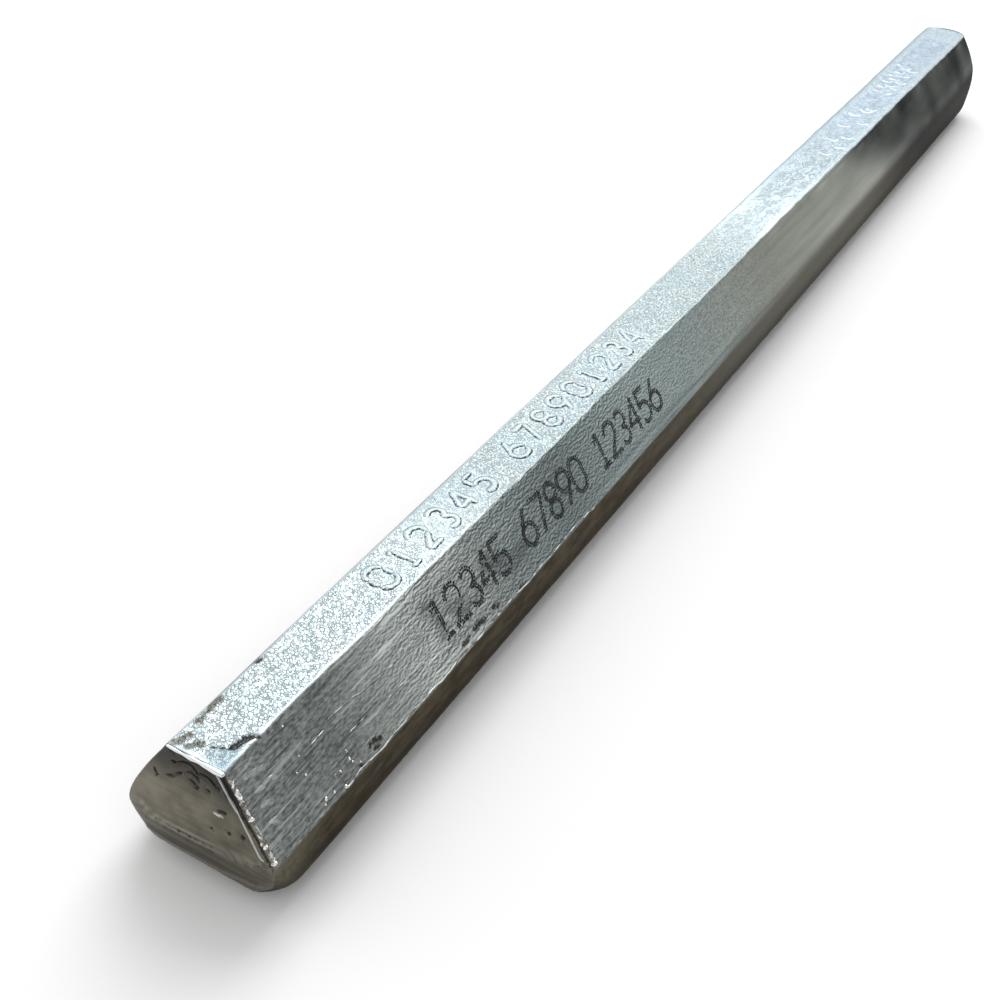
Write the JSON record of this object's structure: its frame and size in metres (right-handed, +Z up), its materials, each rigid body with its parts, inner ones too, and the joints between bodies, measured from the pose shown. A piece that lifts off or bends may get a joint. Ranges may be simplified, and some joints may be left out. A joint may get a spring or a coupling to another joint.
{
  "type": "solder bar",
  "caption": "Long cast bar of solder alloy with a narrow moulded top, steep drafted sides, nearly upright ends and a rounded open-cast underside, melted down to fill a solder pot.",
  "frame": {"origin": "on the flat open-cast face that the bar rests on, under the middle of its overall length and width", "axes": "+X along the bar towards the end with the longer lip, +Z up out of the narrow moulded face, +Y to the left"},
  "size_m": [0.3332, 0.0232, 0.0212],
  "materials": {
    "cast_solder": "as-cast tin alloy, bright and grainy on the moulded top, grey on the sides, dull and brownish on the ends",
    "ink": "dull dried ink in small dots, printed on one side"
  },
  "bodies": {
    "root": {"solder_bar": "cast_solder"}
  },
  "joints": []
}
